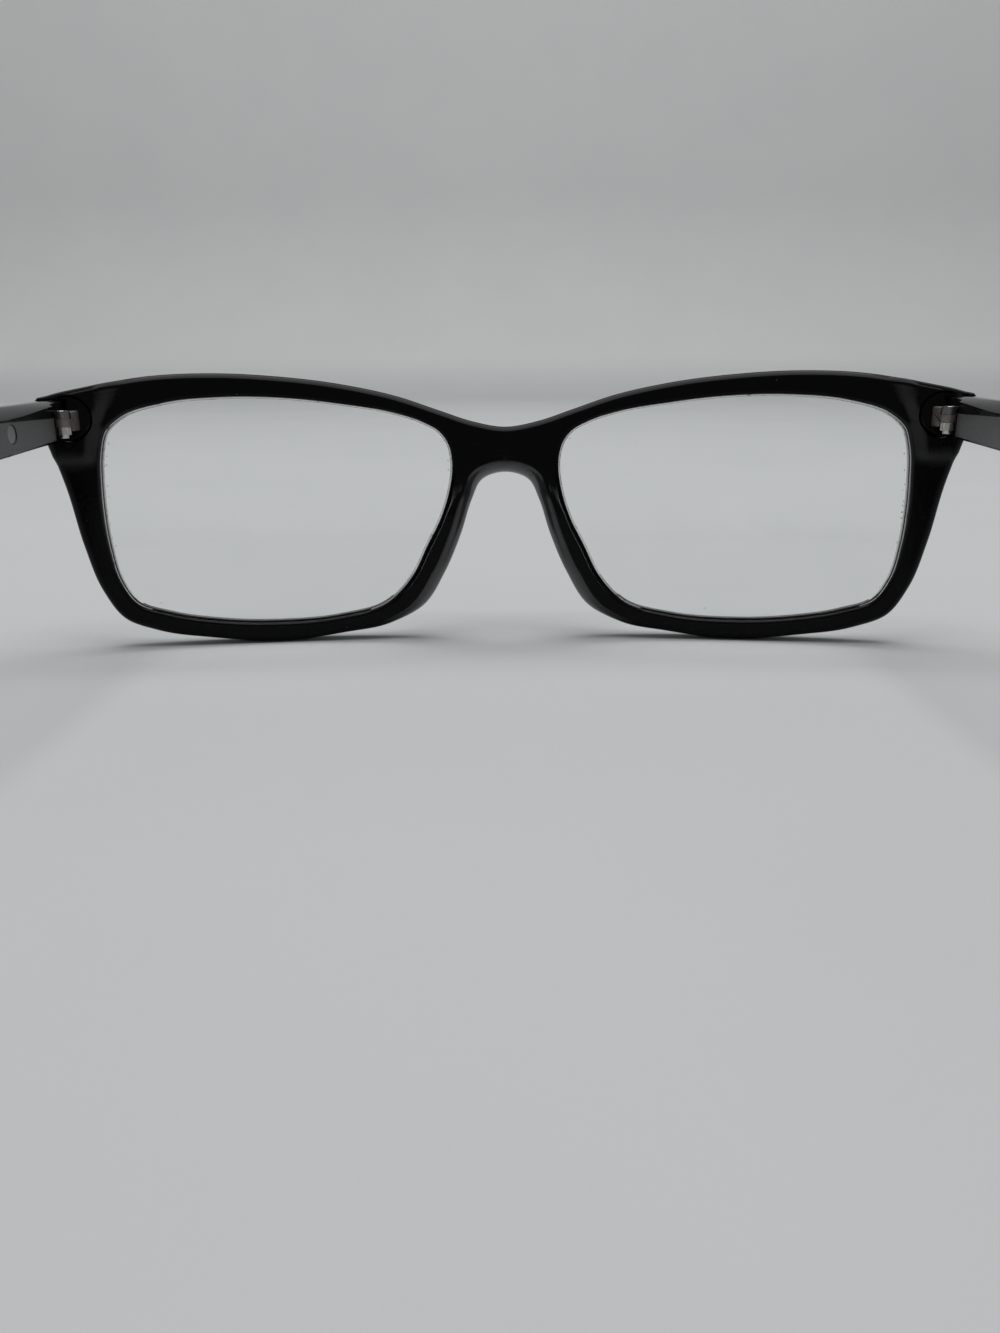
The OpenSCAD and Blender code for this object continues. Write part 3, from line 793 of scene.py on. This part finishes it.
def newGroup(name, inputs, outputs):
    group = bpy.data.node_groups.new(name, "ShaderNodeTree")
    for label, value in inputs.items():
        kind = "NodeSocketFloat" if isinstance(value, (int, float)) else "NodeSocketVector"
        group.interface.new_socket(label, in_out="INPUT", socket_type=kind).default_value = value
    for label in outputs:
        group.interface.new_socket(label, in_out="OUTPUT", socket_type="NodeSocketFloat")
    where = addNode(group.nodes, "ShaderNodeTexCoord")
    given, out = group.nodes.new("NodeGroupInput"), group.nodes.new("NodeGroupOutput")
    return group, group.nodes, where, given, out


# rubbed patches in the polish, and a faint orange peel; every scale here counts per metre
polish, nodes, where, given, out = newGroup(
    "polish", {"Scale": 120.0, "Smooth": 0.06, "Dull": 0.14, "Peel": 1500.0},
    ("Roughness", "Height"))
patches = addNode(nodes, "ShaderNodeTexNoise", Detail=4.0, Roughness=0.6)
spread = addNode(nodes, "ShaderNodeMapRange", From_Min=0.32, From_Max=0.68)
peel = addNode(nodes, "ShaderNodeTexNoise", Detail=2.0)
for texture, scale in ((patches, "Scale"), (peel, "Peel")):
    wire((where, "Object", texture, "Vector"), (given, scale, texture, "Scale"))
wire((patches, "Fac", spread, "Value"), (given, "Smooth", spread, "To Min"),
     (given, "Dull", spread, "To Max"), (spread, 0, out, "Roughness"), (peel, "Fac", out, "Height"))

# hair scratches: thin level lines of a stretched noise, kept where a coarse noise is high
scratches, nodes, where, given, out = newGroup(
    "scratches", {"Stretch": (60.0, 900.0, 900.0), "Width": 0.012, "Bare": 0.52}, ("Lines",))
drawn = addNode(nodes, "ShaderNodeMapping")
hair = addNode(nodes, "ShaderNodeTexNoise", Scale=1.0, Detail=1.0)
level = addMath(nodes, "SUBTRACT", 0.5)
thin = addMath(nodes, "ABSOLUTE")
line = addNode(nodes, "ShaderNodeMapRange", From_Min=0.0, To_Min=1.0, To_Max=0.0)
coarse = addNode(nodes, "ShaderNodeTexNoise", Scale=260.0, Detail=1.0)
kept = addMath(nodes, "GREATER_THAN")
both = addMath(nodes, "MULTIPLY")
wire((where, "Object", drawn, "Vector"), (given, "Stretch", drawn, "Scale"),
     (drawn, 0, hair, "Vector"), (hair, "Fac", level, 0), (level, 0, thin, 0),
     (thin, 0, line, "Value"), (given, "Width", line, "From Max"),
     (where, "Object", coarse, "Vector"), (coarse, "Fac", kept, 0), (given, "Bare", kept, 1),
     (line, 0, both, 0), (kept, 0, both, 1), (both, 0, out, "Lines"))

# dust: small round grains in a few cells of a scatter
dust, nodes, where, given, out = newGroup(
    "dust", {"Scale": 700.0, "Size": 0.3, "Share": 0.06}, ("Specks",))
cells = addNode(nodes, "ShaderNodeTexVoronoi")
lot = addNode(nodes, "ShaderNodeSeparateColor")
reach = addMath(nodes, "MULTIPLY")
inside = addMath(nodes, "LESS_THAN")
chosen = addMath(nodes, "LESS_THAN")
grain = addMath(nodes, "MULTIPLY")
wire((where, "Object", cells, "Vector"), (given, "Scale", cells, "Scale"), (cells, "Color", lot, 0),
     (lot, "Red", reach, 0), (given, "Size", reach, 1), (cells, "Distance", inside, 0),
     (reach, 0, inside, 1), (lot, "Green", chosen, 0), (given, "Share", chosen, 1),
     (inside, 0, grain, 0), (chosen, 0, grain, 1), (grain, 0, out, "Specks"))

# the mask is for faces that turn to the nose: on the pads, under the bridge and, weaker, beside the
# hinges, where it paints a highlight as a paler base colour. The gloss, which adds a coat, takes in
# the faces that look forward too.
noseward, nodes, where, given, out = newGroup(
    "noseward", {"Nose": 0.013, "Rim": 0.02, "Boss": 0.05, "Hinge": 0.055}, ("Mask", "Gloss"))
spot = addNode(nodes, "ShaderNodeSeparateXYZ")
facing = addNode(nodes, "ShaderNodeSeparateXYZ")
side = addMath(nodes, "SIGN")
outward = addMath(nodes, "MULTIPLY_ADD")
turned = addNode(nodes, "ShaderNodeMapRange", interpolation_type="SMOOTHSTEP", From_Min=-0.2,
                 From_Max=-0.9)
sideways = addMath(nodes, "ABSOLUTE")
atNose = addNode(nodes, "ShaderNodeMapRange", To_Min=1.0, To_Max=0.0)
atHinge = addNode(nodes, "ShaderNodeMapRange", To_Min=0.0, To_Max=0.3)
local = addMath(nodes, "ADD")
joined = addMath(nodes, "MULTIPLY")
forward = addNode(nodes, "ShaderNodeMapRange", interpolation_type="SMOOTHSTEP", From_Min=-0.15,
                  From_Max=-0.5)
gloss = addMath(nodes, "MAXIMUM")
wire((where, "Object", spot, 0), (where, "Normal", facing, 0), (spot, "X", side, 0),
     (side, 0, outward, 0), (facing, "X", outward, 1), (facing, "Z", outward, 2),
     (outward, 0, turned, "Value"), (spot, "X", sideways, 0))
for node, low, high in ((atNose, "Nose", "Rim"), (atHinge, "Boss", "Hinge")):
    wire((sideways, 0, node, "Value"), (given, low, node, "From Min"),
         (given, high, node, "From Max"))
wire((atNose, 0, local, 0), (atHinge, 0, local, 1), (turned, 0, joined, 0), (local, 0, joined, 1),
     (joined, 0, out, "Mask"), (facing, "Y", forward, "Value"), (joined, 0, gloss, 0),
     (forward, 0, gloss, 1), (gloss, 0, out, "Gloss"))


# a finish with rubbed patches, scratches and dust; smooth and dull are the ends of its roughness
def worn(name, color, dusty, smooth, dull, specular=0.5, metallic=0.0, transmission=0.0,
         patch=120.0, peel=1500.0, stretch=(60.0, 900.0, 900.0), width=0.012, bare=0.52, bump=0.05,
         speck=700.0, size=0.3, share=0.06):
    material, nodes, shader = newMaterial(name)
    setUp(shader, Metallic=metallic, Specular_IOR_Level=specular, Transmission_Weight=transmission)
    rubbed = addGroup(nodes, polish, Scale=patch, Smooth=smooth, Dull=dull, Peel=peel)
    lines = addGroup(nodes, scratches, Stretch=stretch, Width=width, Bare=bare)
    grains = addGroup(nodes, dust, Scale=speck, Size=size, Share=share)
    tint = addMix(nodes, color, dusty)
    rougher = addMath(nodes, "MULTIPLY_ADD", 0.12)  # what a scratch adds to the roughness
    matt = addMath(nodes, "MULTIPLY_ADD", 0.5, use_clamp=True)  # what a grain of dust adds
    relief = addMath(nodes, "SUBTRACT")
    raised = addNode(nodes, "ShaderNodeBump", Strength=bump, Distance=0.0001)
    wire((grains, "Specks", tint, 0), (tint, 2, shader, "Base Color"), (lines, "Lines", rougher, 0),
         (rubbed, "Roughness", rougher, 2), (grains, "Specks", matt, 0), (rougher, 0, matt, 2),
         (matt, 0, shader, "Roughness"), (rubbed, "Height", relief, 0), (lines, "Lines", relief, 1),
         (relief, 0, raised, "Height"), (raised, 0, shader, "Normal"))
    return material


frontBlack = worn("frontBlack", (0.0019, 0.0019, 0.0022), (0.05, 0.05, 0.048), 0.05, 0.12,
                  specular=0.085, size=0.22, share=0.05)
nodes = frontBlack.node_tree.nodes  # painted highlight: the sides that face the nose get a paler base colour and shine more
shader = setUp(nodes["Principled BSDF"], Coat_Roughness=0.12)
tint = shader.inputs["Base Color"].links[0].from_node
turnedIn = addGroup(nodes, noseward)
paintedSheen = addMix(nodes, None, (0.03, 0.03, 0.0315))
wire((turnedIn, "Gloss", shader, "Coat Weight"), (turnedIn, "Mask", paintedSheen, 0), (tint, 2, paintedSheen, 6),
     (paintedSheen, 2, shader, "Base Color"))

templeBlack = worn("templeBlack", (0.008, 0.008, 0.0085), (0.06, 0.06, 0.058), 0.04, 0.09,
                   specular=0.3, stretch=(900.0, 50.0, 900.0), peel=900.0, bump=0.03)
# painted shade: a dark strip along each temple's inner face, above its panel
templeShadeStrip = worn("templeShadeStrip", (0.003, 0.003, 0.0032), (0.05, 0.05, 0.048), 0.2, 0.35,
                  specular=0.08, stretch=(900.0, 50.0, 900.0))
# satin finish on each temple's inner panel, with a pale base colour that paints its sheen
templeSatinSheen = worn("templeSatinSheen", (0.076, 0.076, 0.077), (0.1, 0.1, 0.098), 0.34, 0.42,
                   specular=0.45, stretch=(900.0, 50.0, 900.0), peel=6000.0, bump=0.08, share=0.03)
# painted reflection: a pale base colour on the flat floor of the mould's dish
markPaintedSheen = worn("markPaintedSheen", (0.2, 0.2, 0.202), (0.22, 0.22, 0.215), 0.42, 0.55, speck=2500.0)

# a finer grain and more scratches than on plastic
onMetal = {"peel": 9000.0, "width": 0.03, "bare": 0.42}
nickel = worn("nickel", (0.17, 0.165, 0.16), (0.12, 0.1, 0.08), 0.24, 0.4, metallic=0.85,
              patch=900.0, stretch=(2500.0, 2500.0, 300.0), speck=4500.0, share=0.12, **onMetal)
nickelDull = worn("nickelDull", (0.2, 0.176, 0.165), (0.05, 0.04, 0.035), 0.36, 0.55, metallic=0.7,
                  patch=900.0, stretch=(2500.0, 2500.0, 300.0), speck=4500.0, share=0.16, **onMetal)
# painted shade, for a hinge leaf in its recess and for the chamfers between the knuckles
nickelShade = worn("nickelShade", (0.02, 0.017, 0.016), (0.04, 0.035, 0.03), 0.5, 0.65,
                   metallic=0.3, patch=900.0, peel=9000.0, speck=4500.0, share=0.1)
# steel for the screws, and also a painted highlight on the lowest knuckle of each temple's hinge
steelAndGlint = worn("steelAndGlint", (0.5, 0.49, 0.47), (0.14, 0.12, 0.1), 0.18, 0.3, metallic=1.0,
             patch=1500.0, stretch=(2500.0, 300.0, 2500.0), speck=6000.0, share=0.1, **onMetal)

# the ground edges of the lenses, and a painted shade on those parts of them that look down
ground = {"patch": 600.0, "peel": 5000.0, "speck": 1200.0, "size": 0.45, "share": 0.2, "bump": 0.2}
lensEdge = worn("lensEdge", (0.6, 0.59, 0.58), (0.12, 0.11, 0.1), 0.45, 0.65, transmission=1.0,
                **ground)
lensEdgeShade = worn("lensEdgeShade", (0.07, 0.07, 0.072), (0.12, 0.12, 0.12), 0.35, 0.55, **ground)


def lensGlass(name, speckColor, scale, size, share):  # clear, with a film of smears and with specks
    material, nodes, shader = newMaterial(name)
    setUp(shader, IOR=1.5, Transmission_Weight=1, Specular_IOR_Level=0.2)
    smears = addGroup(nodes, polish, Scale=90.0, Smooth=0.0, Dull=1.0, Peel=900.0)
    grains = addGroup(nodes, dust, Scale=scale, Size=size, Share=share)
    film = addMix(nodes, (0.99, 0.993, 0.995), (0.965, 0.972, 0.975))
    specked = addMix(nodes, None, speckColor)
    haze = addMath(nodes, "MULTIPLY", 0.012)
    path = nodes.new("ShaderNodeLightPath")
    # a thin lens casts hardly any shadow
    clear = addNode(nodes, "ShaderNodeBsdfTransparent", Color=(0.93, 0.94, 0.94, 1))
    blend = nodes.new("ShaderNodeMixShader")
    wire((smears, "Roughness", film, 0), (film, 2, specked, 6), (grains, "Specks", specked, 0),
         (specked, 2, shader, "Base Color"), (smears, "Roughness", haze, 0),
         (haze, 0, shader, "Roughness"), (path, "Is Shadow Ray", blend, 0), (shader, 0, blend, 1),
         (clear, 0, blend, 2), (blend, 0, nodes["Material Output"], "Surface"))
    return material


lensClear = lensGlass("lensClear", (0.55, 0.55, 0.53), 260.0, 0.045, 0.3)
lensGrime = lensGlass("lensGrime", (0.3, 0.28, 0.25), 3200.0, 0.6, 0.22)


def onPanel(p, normal):  # 2 on the panel of a temple's inner face, painted paler as a sheen; 1 on the strip above it, painted dark as shade
    s = p.y - buttY
    if abs(normal.x) < 0.97 or abs(abs(p.x) - innerX) > 0.004 or s > straight:
        return 0
    top = templeZ - s * sin(radians(slopeAngle)) + along(temple["panelTop"], s)
    return 2 if p.z < top - 0.02 else 1


def facesTo(obj, material, wanted):  # gives a second material to the faces that are wanted
    obj.data.materials.append(material)
    for face in obj.data.polygons:
        if wanted(face):
            face.material_index = len(obj.data.materials) - 1


def dress(obj, material, slot, body, *nodes):
    obj.data.materials.clear()
    obj.data.materials.append(material)
    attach(obj, body)
    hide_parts(*nodes)


dress(frontPiece, frontBlack, "frame_black", "front", "front_frame")
dress(leftLens, lensClear, "lens_clear", "front", "left_lens")
dress(rightLens, lensClear, "lens_clear", "front", "right_lens")
dress(leftTemple, templeBlack, "temple_black", "left_arm", "left_temple")
dress(rightTemple, templeBlack, "temple_black", "right_arm", "right_temple")
dress(leftFrontHinge, nickelDull, "hinge_nickel", "front", "left_front_hinge")
dress(rightFrontHinge, nickelDull, "hinge_nickel", "front", "right_front_hinge")
dress(leftTempleHinge, nickel, "hinge_nickel", "left_arm", "left_temple_hinge")
dress(rightTempleHinge, nickel, "hinge_nickel", "right_arm", "right_temple_hinge")
dress(leftScrew, steelAndGlint, "screw_steel", "left_arm", "left_hinge_screw")
dress(rightScrew, steelAndGlint, "screw_steel", "right_arm", "right_hinge_screw")

lensAxis = lensFrame.to_3x3() @ Vector((0, 0, 1))
lensRim = [toLens @ onFront(inner[k], grooveAt[k]) for k in range(len(places))]


def nearRim(p):  # how far out on its lens a point lies, from 0 at the middle to 1 at the rim
    q = toLens @ Vector((abs(p.x), p.y, p.z))
    spoke = q.xy.normalized()
    return q.xy.length / max(lensRim, key=lambda r: spoke.dot(r.xy.normalized())).xy.length


for obj, side in ((leftLens, 1), (rightLens, -1)):  # the ground edge of each lens
    axis = Vector((lensAxis.x * side, lensAxis.y, lensAxis.z))

    def onEdge(face):
        return abs(face.normal.dot(axis)) < cos(radians(lens["groundAngle"]))

    facesTo(obj, lensGrime, lambda face: nearRim(face.center / mm) > lens["grimeFrom"])
    facesTo(obj, lensEdge, onEdge)
    # painted shade on the edge faces that look down
    facesTo(obj, lensEdgeShade, lambda face: onEdge(face) and face.normal.z < lens["lowFacing"])
for obj in (leftTemple, rightTemple):
    # painted shade on the strip above each panel, and a painted sheen on the panel
    facesTo(obj, templeShadeStrip, lambda face: onPanel(face.center / mm, face.normal) == 1)
    facesTo(obj, templeSatinSheen, lambda face: onPanel(face.center / mm, face.normal) == 2)


def inMark(face):  # on the flat bottom of the dish
    p = face.center / mm - markPlace
    flat = face.normal.x < -0.99 and 0.6 < p.x / temple["markDepth"] < 2
    return flat and hypot(p.y, p.z) < temple["markRadius"]


facesTo(leftTemple, markPaintedSheen, inMark)


def onBarrel(face, low, high):  # outside on a knuckle, at heights from the hinge's middle
    p = face.center / mm
    outside = hypot(abs(p.x) - hinge.x, p.y - hinge.y) > knuckle["screw"] + 0.1
    return outside and low < p.z - hinge.z < high


shadeX = hinge.x + knuckle["shadeOut"]
gapShade = knuckle["gapShadeReach"]
# painted shade darkens the leaf in its recess, and a painted highlight makes the lowest knuckle
# bright
for obj in (leftTempleHinge, rightTempleHinge):
    facesTo(obj, nickelShade, lambda face: abs(face.center.x / mm) > shadeX)
    facesTo(obj, steelAndGlint, lambda face: abs(face.normal.z) < 0.1 and abs(face.center.x / mm) < shadeX
            and onBarrel(face, -barrelHeight / 2, -knuckle["height"] / 2))
# painted shade between the knuckles, on their chamfers
for obj in (leftFrontHinge, rightFrontHinge, leftTempleHinge, rightTempleHinge):
    facesTo(obj, nickelShade,
            lambda face: 0.1 < abs(face.normal.z) < 0.98 and onBarrel(face, -gapShade, gapShade))
print("materials made")


# floor, backdrop, light and camera

studio = {
    "width": 5, "near": 3, "far": 1.3, "curve": 0.3, "wall": 2.2,
    "floorColor": (0.49, 0.5, 0.505), "wallColor": (0.6, 0.61, 0.607), "rampTop": 0.06,
    "air": 0.25, "lampSize": 0.85, "lampHeight": 1.0, "lampBack": -0.07, "lampPower": 7.95,
    "washPlace": (0, -0.75, 1.45), "washPower": 16, "washTurn": 35, "washSize": (4.4, 0.5),
    "background": (0.475, 0.485, 0.49),
}


def makeSweep():  # a seamless sheet: floor, a curve and a wall behind the lenses
    columns, far, curve = (-1, -0.33, 0.33, 1), studio["far"], studio["curve"]

    def row(y, z):
        return [(x * studio["width"] / 2 / mm, y / mm, z / mm) for x in columns]

    turn = [radians(a) for a in range(0, 91, 6)]
    rows = [row(studio["near"], 0), row(0, 0)]
    rows += [row(-far - curve * sin(a), curve * (1 - cos(a))) for a in turn]
    rows += [row(-far - curve, curve + studio["wall"])]
    clearSelection()
    bpy.ops.mesh.primitive_grid_add(x_subdivisions=len(columns) - 1, y_subdivisions=len(rows) - 1)
    sweep = bpy.context.object
    sweep.name = "sweep"
    for vertex in sweep.data.vertices:
        line, column = divmod(vertex.index, len(columns))
        vertex.co = Vector(rows[line][column]) * mm
    turnOut(sweep)
    bpy.ops.object.shade_smooth()
    material, nodes, shader = newMaterial("paleSweep")
    setUp(shader, Specular_IOR_Level=0.15)
    where = nodes.new("ShaderNodeTexCoord")
    split = nodes.new("ShaderNodeSeparateXYZ")
    ramp = addNode(nodes, "ShaderNodeMapRange", interpolation_type="SMOOTHSTEP", From_Min=0.0,
                   From_Max=studio["rampTop"])
    color = addMix(nodes, studio["floorColor"], studio["wallColor"])
    paper = addGroup(nodes, polish, Scale=9.0, Smooth=0.0, Dull=1.0, Peel=2200.0)
    fleck = addMix(nodes, None, (0.975, 0.977, 0.98), blend_type="MULTIPLY")
    grain = addNode(nodes, "ShaderNodeBump", Strength=0.15, Distance=0.00005)
    shine = addMath(nodes, "MULTIPLY_ADD", 0.1, 0.7)
    wire((where, "Object", split, 0), (split, "Z", ramp, "Value"), (ramp, 0, color, 0),
         (color, 2, fleck, 6), (paper, "Roughness", fleck, 0), (fleck, 2, shader, "Base Color"),
         (paper, "Roughness", shine, 0), (shine, 0, shader, "Roughness"),
         (paper, "Height", grain, "Height"), (grain, 0, shader, "Normal"))
    sweep.data.materials.append(material)


makeSweep()

world = bpy.data.worlds.new("air")
bpy.context.scene.world = world
world.use_nodes = True
nodes = world.node_tree.nodes
air = setUp(nodes["Background"], Color=(0.97, 0.99, 1, 1), Strength=studio["air"])
behind = addNode(nodes, "ShaderNodeBackground", Color=(*studio["background"], 1))
path = nodes.new("ShaderNodeLightPath")
blend = nodes.new("ShaderNodeMixShader")
wire((path, "Is Camera Ray", blend, 0), (air, 0, blend, 1), (behind, 0, blend, 2),
     (blend, 0, nodes["World Output"], "Surface"))

clearSelection()
bpy.ops.object.light_add(type="AREA", location=(0, studio["lampBack"], studio["lampHeight"]))
lamp = bpy.context.object
lamp.data.shape = "SQUARE"
lamp.data.size = studio["lampSize"]
lamp.data.energy = studio["lampPower"]
clearSelection()
bpy.ops.object.light_add(type="AREA", location=studio["washPlace"],
                         rotation=(-radians(studio["washTurn"]), 0, 0))
wash = bpy.context.object  # a long lamp that washes the backdrop
wash.data.shape = "RECTANGLE"
wash.data.size, wash.data.size_y = studio["washSize"]
wash.data.energy = studio["washPower"]

viewer = {
    "place": (0.775, 152, 40.95), "pitch": -16.726, "yaw": -0.068, "roll": -0.294, "focal": 27.0,
}
clearSelection()
bpy.ops.object.camera_add()
camera = bpy.context.object
camera.data.lens = viewer["focal"]
camera.data.clip_start = 0.002
camera.matrix_world = (
    Matrix.Translation((Vector(viewer["place"]) + Vector((0, backAt, lift))) * mm)
    @ Matrix.Rotation(radians(180 - viewer["yaw"]), 4, "Z")
    @ Matrix.Rotation(radians(90 + viewer["pitch"]), 4, "X")
    @ Matrix.Rotation(radians(viewer["roll"]), 4, "Z"))
bpy.context.scene.camera = camera
bpy.context.scene.view_settings.view_transform = "Standard"
print("studio ready")
